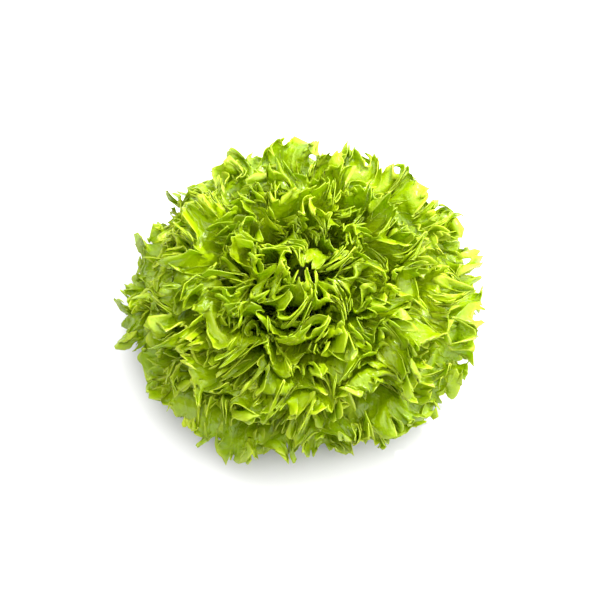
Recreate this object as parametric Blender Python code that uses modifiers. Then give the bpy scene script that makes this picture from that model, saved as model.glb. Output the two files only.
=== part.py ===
"""Lollo bionda lettuce: a cut head of frilled leaves round a short stem, standing on its cut face.

Units are metres, +Z is up, and the origin is the centre of the stem's cut face, on the surface
that the head stands on. Every leaf lies in its own layer of a nest of layers, which run from the
stem out to the dome that the frilled margins make together. A leaf's waves and curls are held
to the room between the leaves beside it, so no leaf crosses another.
"""

import math
import random

import bmesh
import bpy
import numpy as np

# The stem, cut flat at the bottom.
STEM_RADIUS = 0.0165
STEM_HEIGHT = 0.056
STEM_BEVEL = 0.0012
STEM_SIDES = 24
STEM_RINGS = 9

# The dome that the leaf tips make: an oval cap above its widest level, a steep skirt below it.
# Its angles are measured from straight up, and the leaves end between the first and the last.
DOME_RADIUS = 0.133
DOME_MID_HEIGHT = 0.038
DOME_RISE = 0.100
SKIRT_DROP = 0.055
SKIRT_TUCK = 0.25
DOME_END = math.radians(145)
DOME_STEPS = 600
FIRST_TIP_ANGLE = math.radians(5)
LAST_TIP_ANGLE = math.radians(122)

# How the head differs from a round one: the heart leans over above the stem, and the outline has
# broad bulges, each given as (bulges round the head, share of the radius, where the first one is).
HEART_LEAN = 0.012 - 0.016j
LEAN_FROM = 0.053
LEAN_TO = 0.15
BULGES = ((2, 0.035, 0.0),)

# Each layer's curve from the stem to the dome: how steeply it leaves the stem, how far it leans
# out from the dome's own direction at the tip, and how long both ends stay straight.
HEART_RISE = math.radians(87)
OUTER_RISE = math.radians(12)
RISE_POWER = 0.85
LOWEST_LEAN_ANGLE = math.radians(115)
HEART_LEAN_IN = math.radians(40)
OUTER_LEAN_OUT = math.radians(18)
OUTWARD_FROM, OUTWARD_TO = 0.0, 0.65
ROOT_PULL = 0.38
HEART_TIP_PULL, OUTER_TIP_PULL = 0.25, 0.30

# The leaves, counted from the outermost one to the heart, a golden angle apart.
LEAF_COUNT = 54
GOLDEN_ANGLE = math.radians(137.508)
AZIMUTH_JITTER = math.radians(5)
SHORTEST, LONGEST = 0.84, 1.04
LOWEST_ROOT, HIGHEST_ROOT = 0.009, 0.053
ROOT_GAP = 0.0009
ROOT_HALF_WIDTH = 0.0065
ROOT_WIDTH_SHARE = 0.40
BLADE_THICKNESS = 0.0009
LOWEST_BLADE = 0.0007
GROUND_SOFTNESS = 0.002

# A leaf's outline, as shares of its length: a broad fan with a squared-off top.
FAN_HALF_ANGLE = math.radians(60)
FAN_SQUARENESS = 3.0
FAN_HALF_WIDTH = 0.86
FAN_TAPER = 1.3
MARGIN_STEPS = 481
LENGTH_STEPS = 25
MOST_WRAP = math.radians(60)

# Broad waves of the blade: (columns between knots, height as a share of the room, row where they
# start, row where they are full, how far their crests lean over sideways). Most knots lie on the
# other side of the blade from the last one. The blade as a whole leans to one side, too.
WAVES = ((8, 1.0, 0.15, 0.85, 0.05),)
WAVE_ROOM = 0.75
SIDE_LEAN = 0.32
SIDE_LEAN_FROM, SIDE_LEAN_TO = 0.3, 1.0
ALTERNATING = 0.8
LEAST_KNOT = 0.4

# The frilled rim beyond this row: it turns out of the blade by an angle that grows towards the
# margin, (columns between knots, angle at the margin, share of the rim where it starts).
FRILL_FROM = 0.70
CURLS = ((4, 1.0, 0.0),)
CURL_STEPS = 10
HEART_CURL = 0.3
HEART_CURL_TO = 0.3
SIDEWAYS = 0.1
LOBE_DEPTH = 0.14
LOBE_JITTER = 0.13
LOBE_ROUNDNESS = 1.8

# Sways that all the layers make together: (height in layers, turns round the head, cycles from
# the heart to the outermost layer, phase).
SWAYS = ((1.5, 5, 1.0, 0.4), (1.2, 9, -1.5, 2.0), (0.7, 14, 1.2, 4.0))
SWAY_FROM, SWAY_TO = 0.1, 0.8
HEART_SWAY_TO = 0.3

# The innermost tips close over the middle of the heart, by this many layers.
CLOSING = 1.0
CLOSED_TO = 0.25
CLOSING_FROM, CLOSING_TO = 0.45, 1.0

# How far a leaf may swing towards the leaves beside it: up to half the gap, less a clearance in
# metres, which is larger low on the blade, where the facets are long. Only the leaves that lie
# over each other round the head count, and the innermost one also keeps clear of the axis.
ROOM_SHARE = 0.95
LOW_CLEARANCE, TIP_CLEARANCE = 0.0024, 0.0014
CLEARANCE_FROM, CLEARANCE_TO = 0.50, 0.85
LEAST_ROOM = 0.03
ROOM_MARGIN = math.radians(5)
ROOM_FADE = math.radians(9)
MOST_SWING = 3.0
NEIGHBOURS = 16
AXIS_ROOM = 0.1
GAP_STEP = 0.01

# Rows of points from the margin in to the root, and the points along them: (leaves up to this
# one, columns along the margin, rows, columns to a step in each row).
LEAF_GRIDS = (
    (24, 48, (1.0, 0.84, 0.67, 0.40, 0.0), (1, 2, 4, 8, 16)),
    (43, 32, (1.0, 0.84, 0.67, 0.42, 0.20, 0.0), (1, 2, 4, 4, 8, 8)),
    (54, 16, (1.0, 0.84, 0.67, 0.42, 0.20, 0.0), (1, 2, 2, 2, 4, 4)),
)

SEED = 25


def clear_scene():
    for obj in list(bpy.data.objects):
        bpy.data.objects.remove(obj)


def smooth(low, high, x):
    """0 below low, 1 above high, and an even rise between them."""
    x = np.clip((x - low) / (high - low), 0, 1)
    return x * x * (3 - 2 * x)


def mix(a, b, share):
    return a + (b - a) * share


def heading(angle):
    """The direction that climbs at this angle. Points of a profile are radius + height * 1j."""
    return np.exp(1j * angle)


def stem_radius(height):
    return STEM_RADIUS * np.sqrt(np.maximum(0, 1 - (height / STEM_HEIGHT) ** 3))


def dome_point(angle):
    """The dome's profile at this angle from straight up."""
    s, c = np.sin(angle), np.cos(angle)
    cap = DOME_RADIUS * s + 1j * (DOME_MID_HEIGHT + DOME_RISE * c)
    tuck = np.maximum(s, 0) ** SKIRT_TUCK
    skirt = DOME_RADIUS * tuck + 1j * (DOME_MID_HEIGHT + SKIRT_DROP * c)
    return np.where(c >= 0, cap, skirt)


def tip_angle_table():
    """Where the layers meet the dome, at even distances along it: (layer, dome angle)."""
    angles = np.linspace(0, DOME_END, DOME_STEPS)
    run = np.concatenate([[0], np.cumsum(np.abs(np.diff(dome_point(angles))))])
    first, last = np.interp([FIRST_TIP_ANGLE, LAST_TIP_ANGLE], angles, run)
    return (run - first) / (last - first), angles


TIP_SHARES, TIP_ANGLES = tip_angle_table()


def layer_point(t, q):
    """The profile point on layer t, from 0 at the heart to 1 outermost, at the share q of its
    length from the stem to the dome."""
    depth = np.clip(t, 0, 1)
    root_height = mix(HIGHEST_ROOT, LOWEST_ROOT, depth)
    root = stem_radius(root_height) + ROOT_GAP + 1j * root_height
    tip_angle = np.interp(t, TIP_SHARES, TIP_ANGLES)
    tip = dome_point(tip_angle)
    outward = smooth(OUTWARD_FROM, OUTWARD_TO, t)
    rise = mix(HEART_RISE, OUTER_RISE, depth**RISE_POWER)
    lean = math.pi / 2 - np.minimum(tip_angle, LOWEST_LEAN_ANGLE)
    lean = lean + mix(HEART_LEAN_IN, -OUTER_LEAN_OUT, outward)
    reach = np.abs(tip - root)
    first = root + reach * ROOT_PULL * heading(rise)
    last = tip - reach * mix(HEART_TIP_PULL, OUTER_TIP_PULL, outward) * heading(lean)
    p = 1 - q
    inside = p**3 * root + 3 * p * p * q * first + 3 * p * q * q * last + q**3 * tip
    beyond = tip + heading(lean) * (q - 1) * reach
    return np.where(q > 1, beyond, inside)


def layer_length(t):
    return np.abs(np.diff(layer_point(t, np.linspace(0, 1, LENGTH_STEPS)))).sum()


def outline_point(angle):
    """Where the ray at this angle meets the margin, as shares of the leaf's length: (sideways,
    along)."""
    s, c = np.sin(angle), np.cos(angle)
    n = FAN_SQUARENESS
    m = (c**n + (np.abs(s) / FAN_HALF_WIDTH) ** n) ** (-1 / n)
    return m * s, m * c


def margin_table():
    """Ray angles at even distances along the margin: (share of the margin, angle)."""
    angles = np.linspace(-FAN_HALF_ANGLE, FAN_HALF_ANGLE, MARGIN_STEPS)
    sideways, along = outline_point(angles)
    run = np.concatenate([[0], np.cumsum(np.hypot(np.diff(sideways), np.diff(along)))])
    return run / run[-1], angles


MARGIN_SHARES, MARGIN_ANGLES = margin_table()


def knots(rng, count, height):
    """Heights at count + 1 even places, most of them on the other side from the last one."""
    heights, side = [], 1
    for _ in range(count + 1):
        side = -side if rng.random() < ALTERNATING else side
        heights.append(side * height * rng.uniform(LEAST_KNOT, 1.0))
    return np.array(heights)


def between(places, heights):
    """The heights on either side of each place from 0 to 1, and how far along it lies."""
    x = np.clip(places, 0, 1) * (len(heights) - 1)
    j = np.minimum(x.astype(int), len(heights) - 2)
    return heights[j], heights[j + 1], x - j, j


def wave(places, heights):
    """Heights at even places from 0 to 1, joined by smooth slopes."""
    before, after, share, _ = between(places, heights)
    return mix(before, after, smooth(0, 1, share))


def lobes(places, heights):
    """Heights at even places from 0 to 1, with a sharp notch at every second one."""
    before, after, share, j = between(places, heights)
    rising = mix(before, after, 1 - (1 - share) ** LOBE_ROUNDNESS)
    falling = mix(after, before, 1 - share**LOBE_ROUNDNESS)
    return np.where(j % 2 == 1, rising, falling)


class Leaf:
    """One leaf's own numbers, and where its blade lies."""

    def __init__(self, index):
        rng = random.Random(SEED * 1000 + index)
        self.columns, self.rows, self.steps = next(g[1:] for g in LEAF_GRIDS if index < g[0])
        self.index = index
        self.t = 1 - (index + 0.5) / LEAF_COUNT
        self.azimuth = index * GOLDEN_ANGLE + AZIMUTH_JITTER * rng.uniform(-1, 1)
        self.length = layer_length(self.t)
        self.stretch = rng.uniform(SHORTEST, LONGEST)
        self.side_lean = SIDE_LEAN * rng.uniform(-1, 1)
        root_radius = layer_point(self.t, 0.0).real
        self.root_half_width = min(ROOT_HALF_WIDTH, ROOT_WIDTH_SHARE * root_radius)
        self.waves = [knots(rng, self.columns // step, height) for step, height, *_ in WAVES]
        tightness = mix(HEART_CURL, 1, smooth(0, HEART_CURL_TO, self.t))
        self.curls = [
            knots(rng, self.columns // step, angle * tightness) for step, angle, _ in CURLS
        ]
        self.slants = np.array([rng.uniform(-SIDEWAYS, SIDEWAYS) for _ in range(self.columns // 2 + 1)])
        self.lobes = np.array([
            LOBE_DEPTH * (-1) ** j + LOBE_JITTER * rng.uniform(-1, 1) for j in range(self.columns + 1)
        ])
        self.half_width = float(np.abs(self.wrap(MARGIN_SHARES, np.ones_like(MARGIN_SHARES))).max())

    def layer_gap(self, q, step=GAP_STEP):
        """The distance from this layer to the next one, square to the blade."""
        across = layer_point(self.t + step, q) - layer_point(self.t - step, q)
        along = layer_point(self.t, q + step) - layer_point(self.t, q - step)
        return np.abs((across * np.conj(along) / np.abs(along)).imag) / (2 * step * LEAF_COUNT)

    def wrap(self, share, row):
        """The angle round the head from the leaf's own azimuth."""
        sideways, along = outline_point(np.interp(share, MARGIN_SHARES, MARGIN_ANGLES))
        root = (2 * share - 1) * self.root_half_width
        across = mix(root, sideways * self.length, row**FAN_TAPER)
        radius = layer_point(self.t, along * row * self.stretch).real
        return MOST_WRAP * np.tanh(across / (radius * MOST_WRAP))

    def room(self, wrap, q, side, leaves):
        """How many layers the blade may swing outwards (side 1) or inwards (side -1)."""
        near_tip = smooth(CLEARANCE_FROM, CLEARANCE_TO, q)
        clearance = mix(LOW_CLEARANCE, TIP_CLEARANCE, near_tip) / self.layer_gap(q)
        tightness = np.full_like(wrap, 1 / MOST_SWING)
        for other in leaves:
            gap = (self.index - other.index) * side
            if not 0 < gap <= NEIGHBOURS:
                continue
            turned = self.azimuth + wrap - other.azimuth + math.pi
            apart = np.abs(turned % (2 * math.pi) - math.pi)
            near = 1 - smooth(0, ROOM_FADE, apart - other.half_width - ROOM_MARGIN)
            half = np.maximum(gap / 2 - clearance, LEAST_ROOM)
            tightness = np.maximum(tightness, near / (half * ROOM_SHARE))
        if side < 0:
            tightness = np.maximum(tightness, 1 / (LEAF_COUNT - self.index - AXIS_ROOM))
        return 1 / tightness

    def curled(self, share, rim):
        """How far the rim's points lie out of the blade and along it, as shares of its length."""
        out_of_blade, along_blade = 0.0, 0.0
        for i in range(CURL_STEPS):
            place = (i + 0.5) / CURL_STEPS * rim / (1 - FRILL_FROM)
            turn = 0.0
            for angles, (_, _, start) in zip(self.curls, CURLS):
                turn = turn + wave(share, angles) * np.maximum(place - start, 0) / (1 - start)
            out_of_blade = out_of_blade + np.sin(turn) * rim / CURL_STEPS
            along_blade = along_blade + np.cos(turn) * rim / CURL_STEPS
        return out_of_blade, along_blade

    def points(self, share, row, leaves):
        """The blade's middle surface at shares of the margin and rows out from the root."""
        swing = self.side_lean * (2 * share - 1) * smooth(SIDE_LEAN_FROM, SIDE_LEAN_TO, row)
        shift = 0.0
        for heights, (_, _, start, full, overhang) in zip(self.waves, WAVES):
            rise = smooth(start, full, row)
            count = len(heights) - 1
            swing = swing + rise * wave(share, heights)
            shift = shift + rise * overhang / count * np.sin(2 * np.pi * share * count)
        place = np.maximum(row - FRILL_FROM, 0) / (1 - FRILL_FROM)
        rim = (1 - FRILL_FROM) * place * (1 + place * lobes(share, self.lobes))
        out_of_blade, along_blade = self.curled(share, rim)
        reach = np.minimum(row, FRILL_FROM) + along_blade
        _, along = outline_point(np.interp(share, MARGIN_SHARES, MARGIN_ANGLES))
        q = along * reach * self.stretch
        wrap = self.wrap(np.clip(share + shift, 0, 1), reach)
        slant = wave(share, self.slants) * out_of_blade * self.length
        wrap = wrap + slant / layer_point(self.t, q).real
        outwards, inwards = self.room(wrap, q, 1, leaves), self.room(wrap, q, -1, leaves)
        swing = WAVE_ROOM * np.where(swing > 0, outwards, inwards) * np.tanh(swing)
        swing = swing + out_of_blade * self.length / self.layer_gap(q)
        limit = np.where(swing > 0, outwards, inwards)
        t = self.t + limit * np.tanh(swing / limit) / LEAF_COUNT
        return head_point(t, q, self.azimuth + wrap)


def head_point(t, q, azimuth):
    """The place in the head of a point on layer t, at the share q of its length."""
    sway = 0.0
    for height, turns, cycles, phase in SWAYS:
        sway = sway + height / LEAF_COUNT * np.sin(turns * azimuth + 2 * np.pi * cycles * t + phase)
    sway = sway * smooth(SWAY_FROM, SWAY_TO, q) * smooth(0, HEART_SWAY_TO, t)
    closing = CLOSING / LEAF_COUNT * smooth(CLOSING_FROM, CLOSING_TO, q)
    sway = sway - closing * (1 - smooth(0, CLOSED_TO, t))
    spot = layer_point(t + sway, q)
    height = LOWEST_BLADE + GROUND_SOFTNESS * np.logaddexp(0, spot.imag / GROUND_SOFTNESS)
    bulge = 0.0
    for count, share, first in BULGES:
        bulge = bulge + share * np.cos(count * (azimuth - first))
    radius = spot.real * (1 + bulge * smooth(0, 1, spot.real / DOME_RADIUS))
    flat = radius * heading(azimuth) + HEART_LEAN * smooth(LEAN_FROM, LEAN_TO, height)
    return np.stack([flat.real, flat.imag, height], 1)


def leaf_blade(leaf, leaves):
    """A grid bent into the leaf, its rows thinned towards the root by welding points together."""
    bm = bmesh.new()
    bmesh.ops.create_grid(bm, x_segments=leaf.columns, y_segments=len(leaf.rows) - 1, size=1)
    spots = {}
    for vert in bm.verts:
        column = round((vert.co.x + 1) / 2 * leaf.columns)
        row = round((1 - vert.co.y) / 2 * (len(leaf.rows) - 1))
        spots[column, row] = vert
    kept = [(column, row) for column, row in spots if column % leaf.steps[row] == 0]
    share = np.array([column / leaf.columns for column, _ in kept])
    height = np.array([leaf.rows[row] for _, row in kept])
    for spot, place in zip(kept, leaf.points(share, height, leaves)):
        spots[spot].co = place
    welds = {
        vert: spots[column - column % leaf.steps[row], row]
        for (column, row), vert in spots.items()
        if column % leaf.steps[row]
    }
    bmesh.ops.weld_verts(bm, targetmap=welds)
    bmesh.ops.triangulate(bm, faces=bm.faces)
    mesh = bpy.data.meshes.new("leaf")
    bm.to_mesh(mesh)
    bm.free()
    return mesh


def material(name, colour, roughness):
    made = bpy.data.materials.new(name)
    made.use_nodes = True
    shader = made.node_tree.nodes["Principled BSDF"]
    shader.inputs["Base Color"].default_value = (*colour, 1)
    shader.inputs["Roughness"].default_value = roughness
    shader.inputs["Metallic"].default_value = 0
    return made


def add_object(name, mesh, finish, collection):
    obj = bpy.data.objects.new(name, mesh)
    obj.data.materials.append(finish)
    collection.objects.link(obj)
    return obj


def add_leaf(leaf, leaves, finish, collection):
    obj = add_object(f"leaf_{leaf.index + 1:02d}", leaf_blade(leaf, leaves), finish, collection)
    shell = obj.modifiers.new("thickness", "SOLIDIFY")
    shell.thickness = BLADE_THICKNESS
    shell.offset = 0
    shell.use_even_offset = False
    return obj


def add_stem(finish, collection):
    """The stem's side and round top are a turned profile, run down its outer side."""
    heights = [STEM_HEIGHT * (1 - (i / STEM_RINGS) ** 2) for i in range(STEM_RINGS)]
    profile = [(stem_radius(h), h) for h in heights]
    profile += [(STEM_RADIUS, STEM_BEVEL), (STEM_RADIUS - STEM_BEVEL, 0), (0, 0)]
    mesh = bpy.data.meshes.new("stem")
    edges = [(i, i + 1) for i in range(len(profile) - 1)]
    mesh.from_pydata([(r, 0, h) for r, h in profile], edges, [])
    obj = add_object("stem", mesh, finish, collection)
    turn = obj.modifiers.new("turn", "SCREW")
    turn.steps = turn.render_steps = STEM_SIDES
    turn.use_merge_vertices = True
    turn.merge_threshold = 0.00001
    return obj


def main():
    clear_scene()
    collection = bpy.data.collections.new("lollo_bionda_lettuce")
    bpy.context.scene.collection.children.link(collection)
    green = material("leaf_green", (0.30, 0.48, 0.02), 0.45)
    pale = material("stem_pale", (0.72, 0.78, 0.45), 0.5)
    add_stem(pale, collection)
    leaves = [Leaf(index) for index in range(LEAF_COUNT)]
    for leaf in leaves:
        add_leaf(leaf, leaves, green, collection)


if __name__ == "__main__":
    main()
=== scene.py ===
"""Looks of the lollo bionda lettuce: every leaf and the stem as fine meshes with their materials.

The leaves follow the same layers, waves and curls as the solids that they stand for, with finer
curls, lobes, teeth and puckers added. Metres, +Z up, the origin on the stem's cut face.
"""

import math
import random

import bpy
import numpy as np
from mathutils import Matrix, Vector

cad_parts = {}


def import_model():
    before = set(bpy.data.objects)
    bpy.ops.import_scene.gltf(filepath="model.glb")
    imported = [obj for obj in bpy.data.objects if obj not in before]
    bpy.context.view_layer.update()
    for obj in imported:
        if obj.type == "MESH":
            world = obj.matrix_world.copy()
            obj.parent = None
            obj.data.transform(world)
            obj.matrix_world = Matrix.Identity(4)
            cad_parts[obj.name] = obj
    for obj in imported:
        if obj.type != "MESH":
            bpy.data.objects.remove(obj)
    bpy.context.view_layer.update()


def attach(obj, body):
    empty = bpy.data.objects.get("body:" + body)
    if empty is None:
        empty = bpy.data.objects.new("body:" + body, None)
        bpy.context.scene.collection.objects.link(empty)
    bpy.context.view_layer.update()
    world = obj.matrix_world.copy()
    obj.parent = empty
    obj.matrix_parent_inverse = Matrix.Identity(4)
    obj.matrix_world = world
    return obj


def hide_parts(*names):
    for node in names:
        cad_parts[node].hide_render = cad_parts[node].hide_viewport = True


# The stem, with the rings of points on its side and on its flat cut.
STEM_RADIUS = 0.0165
STEM_HEIGHT = 0.056
STEM_BEVEL = 0.0012
STEM_RINGS, STEM_SIDES = 60, 96
BEVEL_ANGLES = np.radians([30, 60, 90])
CUT_RINGS = (0.8, 0.6, 0.4, 0.2)

# The dome that the leaf tips make: an oval cap above its widest level, a steep skirt below it.
DOME_RADIUS = 0.133
DOME_MID_HEIGHT = 0.038
DOME_RISE = 0.100
SKIRT_DROP = 0.055
SKIRT_TUCK = 0.25
DOME_END = math.radians(145)
DOME_STEPS = 600
FIRST_TIP_ANGLE = math.radians(5)
LAST_TIP_ANGLE = math.radians(122)

# The heart leans over, and the outline bulges out to both sides by a share of its radius.
HEART_LEAN = 0.012 - 0.016j
LEAN_FROM, LEAN_TO = 0.053, 0.15
BULGE_COUNT, BULGE_SHARE = 2, 0.035

# Each layer's curve from the stem to the dome.
HEART_RISE = math.radians(87)
OUTER_RISE = math.radians(12)
RISE_POWER = 0.85
LOWEST_LEAN_ANGLE = math.radians(115)
HEART_LEAN_IN = math.radians(40)
OUTER_LEAN_OUT = math.radians(42)
OUTWARD_FROM, OUTWARD_TO = 0.0, 0.65
ROOT_PULL = 0.38
HEART_TIP_PULL, OUTER_TIP_PULL = 0.25, 0.30

# The leaves, counted from the outermost one to the heart, a golden angle apart.
LEAF_COUNT = 54
HEART_FROM = 30
GOLDEN_ANGLE = math.radians(137.508)
AZIMUTH_JITTER = math.radians(5)
SHORTEST, LONGEST = 0.84, 1.04
LOWEST_ROOT, HIGHEST_ROOT = 0.009, 0.053
ROOT_GAP = 0.0009
ROOT_HALF_WIDTH = 0.0065
ROOT_WIDTH_SHARE = 0.40
LOWEST_BLADE = 0.0007
GROUND_SOFTNESS = 0.002

# A leaf's outline, as shares of its length, and the most that its half wraps round the head.
FAN_HALF_ANGLE = math.radians(60)
FAN_SQUARENESS = 3.0
FAN_HALF_WIDTH = 0.86
FAN_TAPER = 1.3
MARGIN_STEPS, MARGIN_SAMPLES = 481, 65
LENGTH_STEPS = 25
MOST_WRAP = math.radians(60)

# Broad waves of the blade: the columns between their knots, their height, the rows between which
# they rise, how far they hang over sideways, and the share of the room that they fill.
WAVE_COLUMNS = 8
WAVE_HEIGHT = 1.0
WAVE_FROM, WAVE_TO = 0.15, 0.85
OVERHANG = 0.05
WAVE_ROOM = 0.75
# Each leaf also leans to one side.
SIDE_LEAN = 0.32
SIDE_LEAN_FROM, SIDE_LEAN_TO = 0.3, 1.0
# Knots of all waves and curls: how often the next one is on the other side, and the lowest one.
ALTERNATING = 0.8
LEAST_KNOT = 0.4

# The frilled rim and its coarse curls: the columns between their knots, and their angle at the
# margin, which is smaller in the heart.
FRILL_FROM = 0.70
CURL_COLUMNS = 4
CURL_ANGLE = 1.0
CURL_STEPS = 10
HEART_CURL = 0.6
HEART_CURL_TO = 0.3
# Finer curls: (metres between knots, angle at the margin, share of the rim where they start). The
# first FRILL_LEVELS of them are frills, and the others are crinkles.
FINE_CURLS = ((0.0088, 1.0, 0.25), (0.0042, 2.0, 0.60), (0.0022, 1.3, 0.76), (0.0013, 0.6, 0.88))
FRILL_LEVELS = 2
# All rims but the heart's roll outwards as well.
ROLL_OUT = 0.8
ROLL_FROM, ROLL_TO = 0.05, 0.4
# The most that curls, frills and crinkles stand out, as shares of the room and in layers.
CURL_ROOM = 0.4
FINE_ROOM, FINE_LAYERS = 0.6, 2.2
CRINKLE_LAYERS = 0.9
# How far the coarse and the fine curls slant to the side, and the columns or metres between the
# places where that changes.
SIDEWAYS, SLANT_COLUMNS = 0.1, 2
FINE_SIDEWAYS, SLANT_STEP = 0.6, 0.004
# The margin's lobes, as shares of the rim. They are LOBE_SHARE times as deep as the solids'.
LOBE_DEPTH = 0.14
LOBE_JITTER = 0.13
LOBE_ROUNDNESS = 1.8
LOBE_SHARE = 1.2
# Small lobes and teeth: the metres between an outer and an inner point of the margin, the depth,
# the least share of it, and how sharp the teeth are.
FINE_LOBE_STEP, FINE_LOBE_DEPTH = 0.0048, 0.0038
TOOTH_STEP, TOOTH_DEPTH = 0.0015, 0.0026
LEAST_CUT = 0.1
TIP_SHARPNESS = 1.7
# Small puckers of the blade: (metres between knots, height, ridges from the root to the tip).
PUCKERS = ((0.0045, 0.0014, 26), (0.0023, 0.0008, 44))
PUCKERS_FROM, PUCKERS_TO = 0.3, 0.7

# Sways that all the layers make together: (layers, turns round the head, cycles from the heart to
# the outermost layer, phase).
SWAYS = ((1.5, 5, 1.0, 0.4), (1.2, 9, -1.5, 2.0), (0.7, 14, 1.2, 4.0))
SWAY_FROM, SWAY_TO = 0.1, 0.8
HEART_SWAY_TO = 0.3

# The innermost tips close over the middle of the heart, by this many layers.
CLOSING = 1.5
CLOSED_TO = 0.25
CLOSING_FROM, CLOSING_TO = 0.45, 1.0

# Drifts of the tips that all leaves share: (metres, cycles a metre along x and y, phase), for x,
# y and z.
DRIFTS = (
    (0.0045, 11.0, 19.0, 0.3), (0.0045, 21.0, -9.0, 1.9), (0.0050, 17.0, 15.0, 4.1),
    (0.0025, -31.0, 27.0, 2.2), (0.0025, 24.0, 35.0, 5.0), (0.0030, 37.0, -29.0, 0.9),
)
DRIFT_FROM, DRIFT_TO = 0.45, 1.0
DRIFT_LOW, DRIFT_HIGH = 0.02, 0.05

# How far a leaf may swing towards the leaves beside it.
ROOM_SHARE = 0.95
LOW_CLEARANCE, TIP_CLEARANCE = 0.0016, 0.0006
CLEARANCE_FROM, CLEARANCE_TO = 0.50, 0.85
LEAST_ROOM = 0.03
ROOM_MARGIN = math.radians(5)
ROOM_FADE = math.radians(9)
MOST_SWING = 3.0
NEIGHBOURS = 16
AXIS_ROOM = 0.1
GAP_STEP = 0.01

# Columns along the margin: (leaves up to this one, columns), and the bands of rows from the margin
# in: (points to a column, outer row, inner row, rows in the band).
LEAF_COLUMNS = ((24, 48), (43, 32), (54, 16))
BANDS = (
    (16, 1.0, 0.97, 2), (8, 0.97, 0.88, 4), (4, 0.88, 0.70, 6), (2, 0.70, 0.42, 5),
    (1, 0.42, 0.0, 6),
)

# The blade's thickness falls from the midrib at the root to the margin, in even levels. The midrib
# narrows towards RIB_END and fades out between two rows.
MARGIN_THICKNESS, RIB_THICKNESS = 0.0005, 0.0028
THIN_FROM, THIN_TO = 0.1, 0.9
THICKNESS_LEVELS = 40
RIB_HALF_WIDTH = 0.0075
RIB_END, LEAST_RIB = 0.62, 0.02
RIB_FADE_FROM, RIB_FADE_TO = 0.40, 0.60

# Leaf colours. The blade's run from the root to the margin: (row, colour). The last stop, paler at
# the margin itself, is a painted highlight along the leaf edges.
BLADE_COLOURS = (
    (0.0, (0.66, 0.70, 0.34)), (0.25, (0.42, 0.52, 0.07)), (0.55, (0.37, 0.545, 0.001)),
    (0.95, (0.41, 0.58, 0.001)), (1.0, (0.70, 0.78, 0.06)),
)
# Heart leaves: yellower as young leaves are, and also lighter as painted light against the shade
# deep in the heart.
YOUNG_LIGHTENED_GREEN, YOUNG_LIGHTENED_SHARE = (0.50, 0.66, 0.003, 1), 0.5
YELLOW_GREEN, YELLOW_SHARE = (0.49, 0.62, 0.001, 1), 0.5
# Painted shade: the blade darkened by this tint in broad blotches where a noise is low.
PAINTED_SHADE_TINT, PAINTED_SHADE_FROM, PAINTED_SHADE_TO = (0.72, 0.80, 0.70, 1), 0.35, 0.68
SPECK_GREEN, SPECK_SHARE, SPECK_FROM, SPECK_TO = (0.46, 0.62, 0.002, 1), 0.35, 0.45, 0.7
VEIN_GREEN, VEIN_SHARE = (0.64, 0.73, 0.12, 1), 0.40
RIB_GREEN, RIB_EDGE = (0.78, 0.82, 0.56, 1), 0.8
GLOW_TINT, GLOW_SHARE = (1.0, 1.0, 0.35, 1), 0.5

# Veins: how many, how wide, and the rows between which the main ones end and the small ones start.
MAIN_VEINS, MAIN_VEIN_WIDTH, MAIN_FADE_FROM, MAIN_FADE_TO = 9, 0.0011, 0.60, 0.98
SMALL_VEINS, SMALL_VEIN_WIDTH, SMALL_FROM, SMALL_TO = 27, 0.0007, 0.35, 0.6
SMALL_VEIN_SHARE = 0.45
VEIN_BEND = 0.06

# Leaf surface: scales of its noises, gloss, and the depth of its bumps.
SPECK_SCALE, PAINTED_SHADE_SCALE, BEND_SCALE, GRAIN_SCALE = 220.0, 35.0, 60.0, 420.0
NOISE_DETAIL, GRAIN_DETAIL = 3.0, 2.0
LEAST_ROUGHNESS, MORE_ROUGHNESS = 0.12, 0.22
LEAF_SPECULAR = 0.55
VEIN_RELIEF, GRAIN_RELIEF = 0.0006, 0.0006

# The stem's flesh.
FLESH_GREEN, FLESH_PALE = (0.70, 0.76, 0.42, 1), (0.82, 0.85, 0.60, 1)
FLESH_BROWN, BROWN_SHARE = (0.55, 0.50, 0.25, 1), 0.3
FLESH_FINE_SCALE, FLESH_BROAD_SCALE = 300.0, 60.0
FLESH_ROUGHNESS, FLESH_MORE_ROUGHNESS = 0.3, 0.3
FLESH_RELIEF = 0.0008

# The studio: a pale floor, a soft sky that is brightest towards the upper right and the back, and
# a small lamp on the same side.
FLOOR_HALF = 4
FLOOR_GREY, FLOOR_ROUGHNESS = (0.62, 0.62, 0.62, 1), 0.9
BRIGHT_SIDE = (0.42, 0.40, 1.00)
SKY_FROM, SKY_TO = -0.1, 1.0
DIM_SKY, BRIGHT_SKY = 0.15, 4.5
LAMP_SIZE, LAMP_POWER = 0.14, 40
LAMP_PLACE, LAMP_TARGET = (0.80, 0.70, 1.35), (0, 0, 0.05)

# The camera: how steeply it looks down, which is estimated from the photo, and its distance.
CAMERA_RISE = math.radians(64)
CAMERA_DISTANCE = 1.072
CAMERA_TARGET = (0.002, 0.003, 0.038)
LENS, SENSOR_WIDTH = 85, 36

# Where each leaf's random draws start: those that it shares with its solid, and the finer ones.
SEED = 25
LEAF_SEED, FINE_SEED = SEED * 1000, SEED * 77000


def smooth(low, high, x):
    """0 below low, 1 above high, and an even rise between them."""
    x = np.clip((x - low) / (high - low), 0, 1)
    return x * x * (3 - 2 * x)


def mix(a, b, share):
    return a + (b - a) * share


def heading(angle):
    """The direction that climbs at this angle. Points of a profile are radius + height * 1j."""
    return np.exp(1j * angle)


def stem_radius(height):
    return STEM_RADIUS * np.sqrt(np.maximum(0, 1 - (height / STEM_HEIGHT) ** 3))


def dome_point(angle):
    """The dome's profile at this angle from straight up."""
    s, c = np.sin(angle), np.cos(angle)
    cap = DOME_RADIUS * s + 1j * (DOME_MID_HEIGHT + DOME_RISE * c)
    tuck = np.maximum(s, 0) ** SKIRT_TUCK
    skirt = DOME_RADIUS * tuck + 1j * (DOME_MID_HEIGHT + SKIRT_DROP * c)
    return np.where(c >= 0, cap, skirt)


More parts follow.
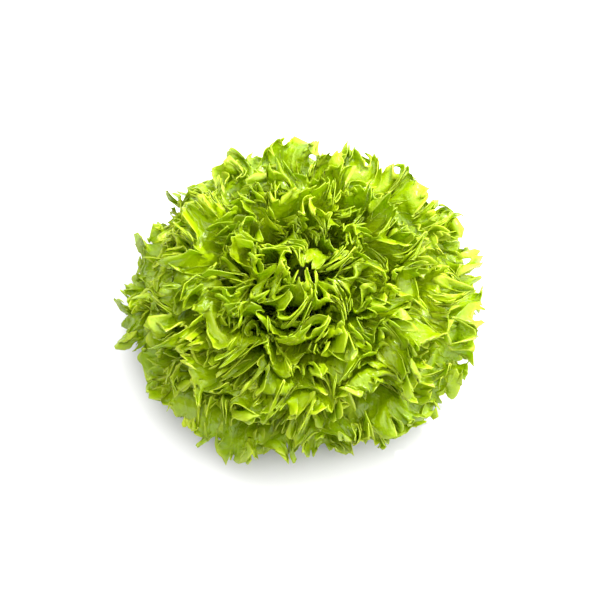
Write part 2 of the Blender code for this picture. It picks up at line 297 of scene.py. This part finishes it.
def tip_angle_table():
    """Where the layers meet the dome: (layer, dome angle)."""
    angles = np.linspace(0, DOME_END, DOME_STEPS)
    run = np.concatenate([[0], np.cumsum(np.abs(np.diff(dome_point(angles))))])
    first, last = np.interp([FIRST_TIP_ANGLE, LAST_TIP_ANGLE], angles, run)
    return (run - first) / (last - first), angles


TIP_SHARES, TIP_ANGLES = tip_angle_table()


def layer_point(t, q):
    """The profile point on layer t, from 0 at the heart to 1 outermost, at the share q of its
    length from the stem to the dome."""
    depth = np.clip(t, 0, 1)
    root_height = mix(HIGHEST_ROOT, LOWEST_ROOT, depth)
    root = stem_radius(root_height) + ROOT_GAP + 1j * root_height
    tip_angle = np.interp(t, TIP_SHARES, TIP_ANGLES)
    tip = dome_point(tip_angle)
    outward = smooth(OUTWARD_FROM, OUTWARD_TO, t)
    rise = mix(HEART_RISE, OUTER_RISE, depth**RISE_POWER)
    lean = math.pi / 2 - np.minimum(tip_angle, LOWEST_LEAN_ANGLE)
    lean = lean + mix(HEART_LEAN_IN, -OUTER_LEAN_OUT, outward)
    reach = np.abs(tip - root)
    first = root + reach * ROOT_PULL * heading(rise)
    last = tip - reach * mix(HEART_TIP_PULL, OUTER_TIP_PULL, outward) * heading(lean)
    p = 1 - q
    inside = p**3 * root + 3 * p * p * q * first + 3 * p * q * q * last + q**3 * tip
    beyond = tip + heading(lean) * (q - 1) * reach
    return np.where(q > 1, beyond, inside)


def layer_length(t):
    return np.abs(np.diff(layer_point(t, np.linspace(0, 1, LENGTH_STEPS)))).sum()


def outline_point(angle):
    """Where the ray at this angle meets the margin, as shares of the leaf's length: (sideways,
    along)."""
    s, c = np.sin(angle), np.cos(angle)
    n = FAN_SQUARENESS
    m = (c**n + (np.abs(s) / FAN_HALF_WIDTH) ** n) ** (-1 / n)
    return m * s, m * c


def margin_table():
    """Ray angles at even distances along the margin: (share of the margin, angle)."""
    angles = np.linspace(-FAN_HALF_ANGLE, FAN_HALF_ANGLE, MARGIN_STEPS)
    sideways, along = outline_point(angles)
    run = np.concatenate([[0], np.cumsum(np.hypot(np.diff(sideways), np.diff(along)))])
    return run / run[-1], angles


MARGIN_SHARES, MARGIN_ANGLES = margin_table()


def knots(rng, count, height):
    """Heights at count + 1 even places, most of them on the other side from the last one."""
    heights, side = [], 1
    for _ in range(count + 1):
        side = -side if rng.random() < ALTERNATING else side
        heights.append(side * height * rng.uniform(LEAST_KNOT, 1.0))
    return np.array(heights)


def cuts(rng, count, depth):
    """Heights at count + 1 even places, turn by turn out and in."""
    return np.array([depth * (-1) ** j * rng.uniform(LEAST_CUT, 1.0) for j in range(count + 1)])


def between(places, heights):
    """The heights on either side of each place from 0 to 1, how far between them it lies, and the
    index of the first one."""
    x = np.clip(places, 0, 1) * (len(heights) - 1)
    j = np.minimum(x.astype(int), len(heights) - 2)
    return heights[j], heights[j + 1], x - j, j


def wave(places, heights):
    """Heights at even places from 0 to 1, joined by smooth slopes."""
    before, after, share, _ = between(places, heights)
    return mix(before, after, smooth(0, 1, share))


def lobes(places, heights):
    """Heights at even places from 0 to 1, with a sharp notch at every second one."""
    before, after, share, j = between(places, heights)
    rising = mix(before, after, 1 - (1 - share) ** LOBE_ROUNDNESS)
    falling = mix(after, before, 1 - share**LOBE_ROUNDNESS)
    return np.where(j % 2 == 1, rising, falling)


def cusps(places, heights):
    """Heights at even places from 0 to 1, with a sharp tip at every second one."""
    before, after, share, j = between(places, heights)
    rising = mix(before, after, share**TIP_SHARPNESS)
    falling = mix(after, before, (1 - share) ** TIP_SHARPNESS)
    return np.where(j % 2 == 1, rising, falling)


class Leaf:
    """One leaf's own numbers, and where its blade lies."""

    def __init__(self, index):
        rng = random.Random(LEAF_SEED + index)
        self.columns = next(columns for last, columns in LEAF_COLUMNS if index < last)
        self.index = index
        self.t = 1 - (index + 0.5) / LEAF_COUNT
        self.azimuth = index * GOLDEN_ANGLE + AZIMUTH_JITTER * rng.uniform(-1, 1)
        self.length = layer_length(self.t)
        self.stretch = rng.uniform(SHORTEST, LONGEST)
        self.side_lean = SIDE_LEAN * rng.uniform(-1, 1)
        root_radius = layer_point(self.t, 0.0).real
        self.root_half_width = min(ROOT_HALF_WIDTH, ROOT_WIDTH_SHARE * root_radius)
        n = self.columns
        self.waves = knots(rng, n // WAVE_COLUMNS, WAVE_HEIGHT)
        tightness = mix(HEART_CURL, 1, smooth(0, HEART_CURL_TO, self.t))
        self.curls = knots(rng, n // CURL_COLUMNS, CURL_ANGLE * tightness)
        self.slants = np.array([
            rng.uniform(-SIDEWAYS, SIDEWAYS) for _ in range(n // SLANT_COLUMNS + 1)
        ])
        self.lobes = np.array([
            LOBE_DEPTH * (-1) ** j + LOBE_JITTER * rng.uniform(-1, 1) for j in range(n + 1)
        ])
        self.half_width = float(np.abs(self.wrap(MARGIN_SHARES, np.ones_like(MARGIN_SHARES))).max())
        self.add_fine_numbers()

    def add_fine_numbers(self):
        """The numbers that the leaf's solid doesn't have."""
        rng = random.Random(FINE_SEED + self.index)
        margin = self.margin_length()
        self.fine_curls = [knots(rng, round(margin / step), angle) for step, angle, _ in FINE_CURLS]
        count = round(margin / SLANT_STEP) + 1
        self.fine_slants = np.array([
            rng.uniform(-FINE_SIDEWAYS, FINE_SIDEWAYS) for _ in range(count)
        ])
        self.teeth = cuts(rng, round(margin / TOOTH_STEP), TOOTH_DEPTH)
        self.fine_lobes = cuts(rng, round(margin / FINE_LOBE_STEP), FINE_LOBE_DEPTH)
        self.puckers = [knots(rng, round(margin / step), height) for step, height, _ in PUCKERS]
        self.tone = rng.random()

    def margin_length(self):
        """The length of the margin before it is curled."""
        share = np.linspace(0, 1, MARGIN_SAMPLES)
        _, along = outline_point(np.interp(share, MARGIN_SHARES, MARGIN_ANGLES))
        radius = layer_point(self.t, along * self.stretch).real
        turned = np.diff(self.wrap(share, np.ones_like(share))) * radius[1:]
        return float(np.hypot(turned, np.diff(along * self.length)).sum())

    def layer_gap(self, q):
        """The distance from this layer to the next one, square to the blade."""
        across = layer_point(self.t + GAP_STEP, q) - layer_point(self.t - GAP_STEP, q)
        along = layer_point(self.t, q + GAP_STEP) - layer_point(self.t, q - GAP_STEP)
        return np.abs((across * np.conj(along) / np.abs(along)).imag) / (2 * GAP_STEP * LEAF_COUNT)

    def across(self, share, row):
        """The distance from the leaf's midline, along the blade."""
        sideways, _ = outline_point(np.interp(share, MARGIN_SHARES, MARGIN_ANGLES))
        root = (2 * share - 1) * self.root_half_width
        return mix(root, sideways * self.length, row**FAN_TAPER)

    def wrap(self, share, row):
        """The angle round the head from the leaf's own azimuth."""
        _, along = outline_point(np.interp(share, MARGIN_SHARES, MARGIN_ANGLES))
        radius = layer_point(self.t, along * row * self.stretch).real
        return MOST_WRAP * np.tanh(self.across(share, row) / (radius * MOST_WRAP))

    def room(self, wrap, q, side, leaves):
        """How many layers the blade may swing outwards (side 1) or inwards (side -1)."""
        near_tip = smooth(CLEARANCE_FROM, CLEARANCE_TO, q)
        clearance = mix(LOW_CLEARANCE, TIP_CLEARANCE, near_tip) / self.layer_gap(q)
        tightness = np.full_like(wrap, 1 / MOST_SWING)
        for other in leaves:
            gap = (self.index - other.index) * side
            if not 0 < gap <= NEIGHBOURS:
                continue
            turned = self.azimuth + wrap - other.azimuth + math.pi
            apart = np.abs(turned % (2 * math.pi) - math.pi)
            near = 1 - smooth(0, ROOM_FADE, apart - other.half_width - ROOM_MARGIN)
            half = np.maximum(gap / 2 - clearance, LEAST_ROOM)
            tightness = np.maximum(tightness, near / (half * ROOM_SHARE))
        if side < 0:
            tightness = np.maximum(tightness, 1 / (LEAF_COUNT - self.index - AXIS_ROOM))
        return 1 / tightness

    def curled(self, share, rim, levels):
        """How far the rim's points lie out of the blade and along it, as shares of its length, and
        the angle that the rim has turned through there. Levels of curls are (angles, start)."""
        levels = [(wave(share, angles), start) for angles, start in levels]
        roll = ROLL_OUT * smooth(ROLL_FROM, ROLL_TO, self.t)
        out_of_blade, along_blade = 0.0, 0.0
        for i in range(CURL_STEPS):
            place = (i + 0.5) / CURL_STEPS * rim / (1 - FRILL_FROM)
            turn = roll * place
            for angle, start in levels:
                turn = turn + angle * np.maximum(place - start, 0) / (1 - start)
            out_of_blade = out_of_blade + np.sin(turn) * rim / CURL_STEPS
            along_blade = along_blade + np.cos(turn) * rim / CURL_STEPS
        return out_of_blade, along_blade, turn

    def toothed(self, share, place):
        """How far the teeth and the small lobes stand out at the end of the rim, in metres."""
        return place**3 * cusps(share, self.teeth) + place * lobes(share, self.fine_lobes)

    def puckered(self, share, row):
        """How far the small puckers between the veins lie out of the blade, in metres."""
        height = 0.0
        for heights, (_, _, ridges) in zip(self.puckers, PUCKERS):
            height = height + wave(share, heights) * np.sin(np.pi * row * ridges)
        return height * smooth(PUCKERS_FROM, PUCKERS_TO, row)

    def points(self, share, row, leaves):
        """The blade's middle surface at shares of the margin and rows out from the root."""
        rise = smooth(WAVE_FROM, WAVE_TO, row)
        count = len(self.waves) - 1
        shift = rise * OVERHANG / count * np.sin(2 * np.pi * share * count)
        place = np.maximum(row - FRILL_FROM, 0) / (1 - FRILL_FROM)
        rim = (1 - FRILL_FROM) * place * (1 + place * LOBE_SHARE * lobes(share, self.lobes))
        coarse = [(self.curls, 0)]
        finer = [(angles, start) for angles, (_, _, start) in zip(self.fine_curls, FINE_CURLS)]
        broad, *_ = self.curled(share, rim, coarse)
        frilled, *_ = self.curled(share, rim, coarse + finer[:FRILL_LEVELS])
        out_of_blade, along_blade, turn = self.curled(share, rim, coarse + finer)
        tooth = self.toothed(share, place)
        reach = np.minimum(row, FRILL_FROM) + along_blade + tooth / self.length * np.cos(turn)
        _, along = outline_point(np.interp(share, MARGIN_SHARES, MARGIN_ANGLES))
        q = along * reach * self.stretch
        wrap = self.wrap(np.clip(share + shift, 0, 1), reach)
        slant = (wave(share, self.slants) + wave(share, self.fine_slants)) * out_of_blade
        wrap = wrap + slant * self.length / layer_point(self.t, q).real
        outwards, inwards = self.room(wrap, q, 1, leaves), self.room(wrap, q, -1, leaves)
        gap = self.layer_gap(q)
        # Waves and coarse curls stay in the leaf's own room. Frills and crinkles reach a few layers
        # past it at the margin, and the small lobes and teeth stand out by their depth.
        swing = self.side_lean * (2 * share - 1) * smooth(SIDE_LEAN_FROM, SIDE_LEAN_TO, row)
        swing = swing + rise * wave(share, self.waves)
        swing = WAVE_ROOM * np.where(swing > 0, outwards, inwards) * np.tanh(swing)
        swing = swing + broad * self.length / gap
        limit = np.where(swing > 0, outwards, inwards)
        swing = CURL_ROOM * limit * np.tanh(swing / limit / CURL_ROOM)
        ruffle = (frilled - broad) * self.length / gap
        limit = FINE_ROOM * np.where(ruffle > 0, outwards, inwards) + FINE_LAYERS * place
        swing = swing + limit * np.tanh(ruffle / limit)
        crinkle = ((out_of_blade - frilled) * self.length + self.puckered(share, row)) / gap
        swing = swing + CRINKLE_LAYERS * np.tanh(crinkle / CRINKLE_LAYERS)
        swing = swing + tooth / gap * np.sin(turn)
        return head_point(self.t + swing / LEAF_COUNT, q, self.azimuth + wrap)


def head_point(t, q, azimuth):
    """The place in the head of a point on layer t, at the share q of its length."""
    sway = 0.0
    for height, turns, cycles, phase in SWAYS:
        sway = sway + height / LEAF_COUNT * np.sin(turns * azimuth + 2 * np.pi * cycles * t + phase)
    sway = sway * smooth(SWAY_FROM, SWAY_TO, q) * smooth(0, HEART_SWAY_TO, t)
    closing = CLOSING / LEAF_COUNT * smooth(CLOSING_FROM, CLOSING_TO, q)
    sway = sway - closing * (1 - smooth(0, CLOSED_TO, t))
    spot = layer_point(t + sway, q)
    height = LOWEST_BLADE + GROUND_SOFTNESS * np.logaddexp(0, spot.imag / GROUND_SOFTNESS)
    bulge = BULGE_SHARE * np.cos(BULGE_COUNT * azimuth)
    radius = spot.real * (1 + bulge * smooth(0, 1, spot.real / DOME_RADIUS))
    flat = radius * heading(azimuth) + HEART_LEAN * smooth(LEAN_FROM, LEAN_TO, height)
    place = np.stack([flat.real, flat.imag, height], 1)
    free = smooth(DRIFT_FROM, DRIFT_TO, q) * smooth(DRIFT_LOW, DRIFT_HIGH, height)
    for i, (size, along_x, along_y, phase) in enumerate(DRIFTS):
        turn = 2 * np.pi * (along_x * flat.real + along_y * flat.imag) + phase
        place[:, i % 3] += size * free * np.sin(turn)
    return place


def strip_faces(upper, lower, n, m):
    """Faces between a row of n + 1 points and the next row in, of m + 1 points, n or n / 2."""
    j = np.arange(m)
    if n == m:
        return np.stack([upper + j, lower + j, lower + j + 1, upper + j + 1], 1).tolist()
    a, b, c = upper + 2 * j, upper + 2 * j + 1, upper + 2 * j + 2
    d, e = lower + j, lower + j + 1
    threes = [(a, d, b), (b, d, e), (b, e, c)]
    return [face for corners in threes for face in np.stack(corners, 1).tolist()]


def leaf_mesh(leaf, leaves):
    """The blade's middle surface, with what its material reads stored at every point, and its
    thickness there as shares of the midrib's."""
    rows = [(1.0, leaf.columns * BANDS[0][0])]
    for finer, start, end, count in BANDS:
        rows += [(mix(start, end, i / count), leaf.columns * finer) for i in range(1, count + 1)]
    share = np.concatenate([np.linspace(0, 1, n + 1) for _, n in rows])
    row = np.concatenate([np.full(n + 1, r) for r, n in rows])
    faces, first = [], 0
    for (_, n), (_, m) in zip(rows, rows[1:]):
        faces += strip_faces(first, first + n + 1, n, m)
        first += n + 1
    mesh = bpy.data.meshes.new(f"leaf_{leaf.index + 1:02d}")
    mesh.from_pydata(leaf.points(share, row, leaves).tolist(), [], faces)
    across = leaf.across(share, row)
    spread = leaf.across(np.ones_like(row), row)
    half_width = RIB_HALF_WIDTH * np.maximum(RIB_END - row, LEAST_RIB)
    rib = np.maximum(0, 1 - np.abs(across) / half_width)
    rib = rib * smooth(RIB_FADE_TO, RIB_FADE_FROM, row)
    tone = np.full_like(row, leaf.tone)
    values = {"share": share, "row": row, "spread": spread, "rib": rib, "tone": tone}
    for name, numbers in values.items():
        attribute = mesh.attributes.new(name, "FLOAT", "POINT")
        attribute.data.foreach_set("value", numbers.astype(np.float32))
    mesh.polygons.foreach_set("use_smooth", [True] * len(mesh.polygons))
    thickness = mix(MARGIN_THICKNESS, RIB_THICKNESS, rib * smooth(THIN_TO, THIN_FROM, row))
    return mesh, thickness / RIB_THICKNESS


def add_leaf(leaf, leaves, finish):
    mesh, weights = leaf_mesh(leaf, leaves)
    obj = bpy.data.objects.new(f"frilled_leaf_{leaf.index + 1:02d}", mesh)
    bpy.context.scene.collection.objects.link(obj)
    mesh.materials.append(finish)
    group = obj.vertex_groups.new(name="thickness")
    levels = np.round(weights * THICKNESS_LEVELS).astype(int)
    for level in np.unique(levels):
        group.add(np.flatnonzero(levels == level).tolist(), level / THICKNESS_LEVELS, "REPLACE")
    shell = obj.modifiers.new("thickness", "SOLIDIFY")
    shell.thickness = RIB_THICKNESS
    shell.offset = 0
    shell.use_even_offset = False
    shell.vertex_group = "thickness"
    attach(obj, "root")
    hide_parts(f"leaf_{leaf.index + 1:02d}")


class Nodes:
    """A short way to write a material's node tree."""

    def __init__(self, name):
        self.material = bpy.data.materials.new(name)
        self.material.use_nodes = True
        self.tree = self.material.node_tree
        self.shader = self.tree.nodes["Principled BSDF"]
        self.output = self.tree.nodes["Material Output"]

    def link(self, source, target):
        self.tree.links.new(source, target)

    def put(self, value, socket):
        if isinstance(value, bpy.types.NodeSocket):
            self.link(value, socket)
        else:
            socket.default_value = value

    def attribute(self, name):
        node = self.tree.nodes.new("ShaderNodeAttribute")
        node.attribute_name = name
        return node.outputs["Fac"]

    def math(self, operation, a, b=0.0, c=0.0):
        node = self.tree.nodes.new("ShaderNodeMath")
        node.operation = operation
        for value, socket in zip((a, b, c), node.inputs):
            self.put(value, socket)
        return node.outputs[0]

    def rise(self, low, high, x):
        """A smooth step of x from low to high; falling where low is above high."""
        node = self.tree.nodes.new("ShaderNodeMapRange")
        node.interpolation_type = "SMOOTHSTEP"
        turned = low > high
        self.put(x, node.inputs["Value"])
        node.inputs["From Min"].default_value = min(low, high)
        node.inputs["From Max"].default_value = max(low, high)
        node.inputs["To Min"].default_value = 1.0 if turned else 0.0
        node.inputs["To Max"].default_value = 0.0 if turned else 1.0
        return node.outputs[0]

    def mix(self, share, a, b, blend="MIX"):
        node = self.tree.nodes.new("ShaderNodeMix")
        node.data_type = "RGBA"
        node.blend_type = blend
        for value, socket in zip((share, a, b), (node.inputs[0], node.inputs[6], node.inputs[7])):
            self.put(value, socket)
        return node.outputs[2]

    def noise(self, scale, detail=NOISE_DETAIL):
        node = self.tree.nodes.new("ShaderNodeTexNoise")
        node.inputs["Scale"].default_value = scale
        node.inputs["Detail"].default_value = detail
        place = self.tree.nodes.new("ShaderNodeTexCoord").outputs["Object"]
        self.link(place, node.inputs["Vector"])
        return node.outputs["Fac"]

    def ramp(self, x, stops):
        node = self.tree.nodes.new("ShaderNodeValToRGB")
        self.put(x, node.inputs["Fac"])
        elements = node.color_ramp.elements
        elements[0].position, elements[1].position = stops[0][0], stops[-1][0]
        elements[0].color, elements[1].color = (*stops[0][1], 1), (*stops[-1][1], 1)
        for position, colour in stops[1:-1]:
            elements.new(position).color = (*colour, 1)
        return node.outputs["Color"]

    def bump(self, height, distance, before=None):
        node = self.tree.nodes.new("ShaderNodeBump")
        node.inputs["Distance"].default_value = distance
        self.link(height, node.inputs["Height"])
        if before is not None:
            self.link(before, node.inputs["Normal"])
        return node.outputs["Normal"]


def vein_lines(n, count, width, bend):
    """Lines from the root to the margin, an even share of the leaf apart and evenly wide."""
    share = n.math("ADD", n.attribute("share"), bend)
    place = n.math("FRACT", n.math("MULTIPLY", share, float(count)))
    apart = n.math("ABSOLUTE", n.math("SUBTRACT", place, 0.5))
    metres = n.math("MULTIPLY", n.math("DIVIDE", apart, float(count)), n.attribute("spread"))
    return n.rise(width, 0.0, n.math("MULTIPLY", metres, 2.0))


def leaf_material(name, young_and_lightened):
    n = Nodes(name)
    row, rib, tone = n.attribute("row"), n.attribute("rib"), n.attribute("tone")
    fine = n.noise(SPECK_SCALE)
    broad = n.noise(PAINTED_SHADE_SCALE)
    bend = n.math("MULTIPLY", n.math("SUBTRACT", n.noise(BEND_SCALE), 0.5), VEIN_BEND)
    main = vein_lines(n, MAIN_VEINS, MAIN_VEIN_WIDTH, bend)
    main = n.math("MULTIPLY", main, n.rise(MAIN_FADE_TO, MAIN_FADE_FROM, row))
    small = vein_lines(n, SMALL_VEINS, SMALL_VEIN_WIDTH, bend)
    small = n.math("MULTIPLY", small, n.rise(SMALL_FROM, SMALL_TO, row))
    veins = n.math("MAXIMUM", main, n.math("MULTIPLY", small, SMALL_VEIN_SHARE))

    # The ramp's last, pale stop paints a highlight along the margin.
    colour = n.ramp(row, BLADE_COLOURS)
    # Heart leaves are lightened: partly their own young colour, partly painted light against the
    # heart's shade.
    if young_and_lightened:
        colour = n.mix(YOUNG_LIGHTENED_SHARE, colour, YOUNG_LIGHTENED_GREEN)
    colour = n.mix(n.math("MULTIPLY", tone, YELLOW_SHARE), colour, YELLOW_GREEN)
    # Painted shade: the colour darkened in broad blotches by a noise.
    painted_shade = n.mix(1.0, colour, PAINTED_SHADE_TINT, "MULTIPLY")
    colour = n.mix(n.rise(PAINTED_SHADE_FROM, PAINTED_SHADE_TO, broad), painted_shade, colour)
    specks = n.math("MULTIPLY", n.rise(SPECK_FROM, SPECK_TO, fine), SPECK_SHARE)
    colour = n.mix(specks, colour, SPECK_GREEN)
    colour = n.mix(n.math("MULTIPLY", veins, VEIN_SHARE), colour, VEIN_GREEN)
    colour = n.mix(n.rise(0.0, RIB_EDGE, rib), colour, RIB_GREEN)
    n.link(colour, n.shader.inputs["Base Color"])
    rough = n.math("MULTIPLY_ADD", fine, MORE_ROUGHNESS, LEAST_ROUGHNESS)
    n.link(rough, n.shader.inputs["Roughness"])
    n.shader.inputs["Specular IOR Level"].default_value = LEAF_SPECULAR
    normal = n.bump(veins, VEIN_RELIEF)
    normal = n.bump(n.noise(GRAIN_SCALE, GRAIN_DETAIL), GRAIN_RELIEF, normal)
    n.link(normal, n.shader.inputs["Normal"])

    clear = n.tree.nodes.new("ShaderNodeBsdfTranslucent")
    n.link(n.mix(1.0, colour, GLOW_TINT, "MULTIPLY"), clear.inputs["Color"])
    n.link(normal, clear.inputs["Normal"])
    both = n.tree.nodes.new("ShaderNodeMixShader")
    both.inputs[0].default_value = GLOW_SHARE
    n.link(n.shader.outputs[0], both.inputs[1])
    n.link(clear.outputs[0], both.inputs[2])
    n.link(both.outputs[0], n.output.inputs["Surface"])
    return n.material


def stem_material():
    n = Nodes("stem_flesh")
    fine, broad = n.noise(FLESH_FINE_SCALE), n.noise(FLESH_BROAD_SCALE)
    colour = n.mix(broad, FLESH_GREEN, FLESH_PALE)
    colour = n.mix(n.math("MULTIPLY", fine, BROWN_SHARE), colour, FLESH_BROWN)
    n.link(colour, n.shader.inputs["Base Color"])
    rough = n.math("MULTIPLY_ADD", fine, FLESH_MORE_ROUGHNESS, FLESH_ROUGHNESS)
    n.link(rough, n.shader.inputs["Roughness"])
    n.link(n.bump(fine, FLESH_RELIEF), n.shader.inputs["Normal"])
    return n.material


def add_stem(finish):
    """The stem, turned from the profile of its side, bevel and flat cut."""
    sides = STEM_SIDES
    steps = np.linspace(0, 1, STEM_RINGS) ** 2
    heights = STEM_HEIGHT * (1 - steps * (1 - STEM_BEVEL / STEM_HEIGHT))
    profile = [(float(stem_radius(h)), float(h)) for h in heights[1:]]
    profile += [
        (STEM_RADIUS - STEM_BEVEL * (1 - math.cos(a)), STEM_BEVEL * (1 - math.sin(a)))
        for a in BEVEL_ANGLES
    ]
    profile += [(STEM_RADIUS * share, 0.0) for share in CUT_RINGS]
    points, faces = [(0.0, 0.0, STEM_HEIGHT)], []
    for radius, height in profile:
        for j in range(sides):
            a = 2 * math.pi * j / sides
            points.append((radius * math.cos(a), radius * math.sin(a), height))
    points.append((0.0, 0.0, 0.0))
    last = len(points) - 1
    for j in range(sides):
        k = (j + 1) % sides
        faces.append((0, 1 + j, 1 + k))
        for i in range(len(profile) - 1):
            upper, lower = 1 + i * sides, 1 + (i + 1) * sides
            faces.append((upper + j, lower + j, lower + k, upper + k))
        end = 1 + (len(profile) - 1) * sides
        faces.append((end + j, last, end + k))
    mesh = bpy.data.meshes.new("cut_stem")
    mesh.from_pydata(points, [], faces)
    mesh.materials.append(finish)
    mesh.polygons.foreach_set("use_smooth", [True] * len(mesh.polygons))
    obj = bpy.data.objects.new("cut_stem", mesh)
    bpy.context.scene.collection.objects.link(obj)
    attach(obj, "root")
    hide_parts("stem")


def add_floor():
    mesh = bpy.data.meshes.new("floor")
    half = FLOOR_HALF
    corners = [(-half, -half, 0), (half, -half, 0), (half, half, 0), (-half, half, 0)]
    mesh.from_pydata(corners, [], [(0, 1, 2, 3)])
    n = Nodes("floor")
    n.shader.inputs["Base Color"].default_value = FLOOR_GREY
    n.shader.inputs["Roughness"].default_value = FLOOR_ROUGHNESS
    mesh.materials.append(n.material)
    obj = bpy.data.objects.new("floor", mesh)
    bpy.context.scene.collection.objects.link(obj)


def aim(obj, place, target):
    """Put the object into the scene at the place, facing the target."""
    place, target = Vector(place), Vector(target)
    obj.location = place
    obj.rotation_euler = (target - place).to_track_quat("-Z", "Y").to_euler()
    bpy.context.scene.collection.objects.link(obj)


def add_lamp():
    data = bpy.data.lights.new("key", "AREA")
    data.shape = "DISK"
    data.size = LAMP_SIZE
    data.energy = LAMP_POWER
    aim(bpy.data.objects.new("key", data), LAMP_PLACE, LAMP_TARGET)


def add_camera():
    data = bpy.data.cameras.new("camera")
    data.lens = LENS
    data.sensor_width = SENSOR_WIDTH
    cam = bpy.data.objects.new("camera", data)
    back = Vector((0, -math.cos(CAMERA_RISE), math.sin(CAMERA_RISE)))
    aim(cam, Vector(CAMERA_TARGET) + back * CAMERA_DISTANCE, CAMERA_TARGET)
    bpy.context.scene.camera = cam


def add_sky():
    """A white sky whose strength rises smoothly towards its bright side."""
    world = bpy.data.worlds.new("studio")
    world.use_nodes = True
    nodes, links = world.node_tree.nodes, world.node_tree.links
    background = nodes["Background"]
    background.inputs["Color"].default_value = (1, 1, 1, 1)
    facing = nodes.new("ShaderNodeVectorMath")
    facing.operation = "DOT_PRODUCT"
    facing.inputs[1].default_value = Vector(BRIGHT_SIDE).normalized()
    links.new(nodes.new("ShaderNodeTexCoord").outputs["Generated"], facing.inputs[0])
    fade = nodes.new("ShaderNodeMapRange")
    fade.interpolation_type = "SMOOTHSTEP"
    limits = {"From Min": SKY_FROM, "From Max": SKY_TO, "To Min": DIM_SKY, "To Max": BRIGHT_SKY}
    for name, limit in limits.items():
        fade.inputs[name].default_value = limit
    links.new(facing.outputs["Value"], fade.inputs["Value"])
    links.new(fade.outputs[0], background.inputs["Strength"])
    bpy.context.scene.world = world


def main():
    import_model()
    leaves = [Leaf(index) for index in range(LEAF_COUNT)]
    outer, heart = leaf_material("outer_leaf_green", False), leaf_material("heart_leaf_green", True)
    for leaf in leaves:
        add_leaf(leaf, leaves, heart if leaf.index >= HEART_FROM else outer)
    add_stem(stem_material())
    add_sky()
    bpy.context.scene.view_settings.view_transform = "Standard"
    add_lamp()
    add_camera()
    add_floor()
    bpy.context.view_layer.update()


main()
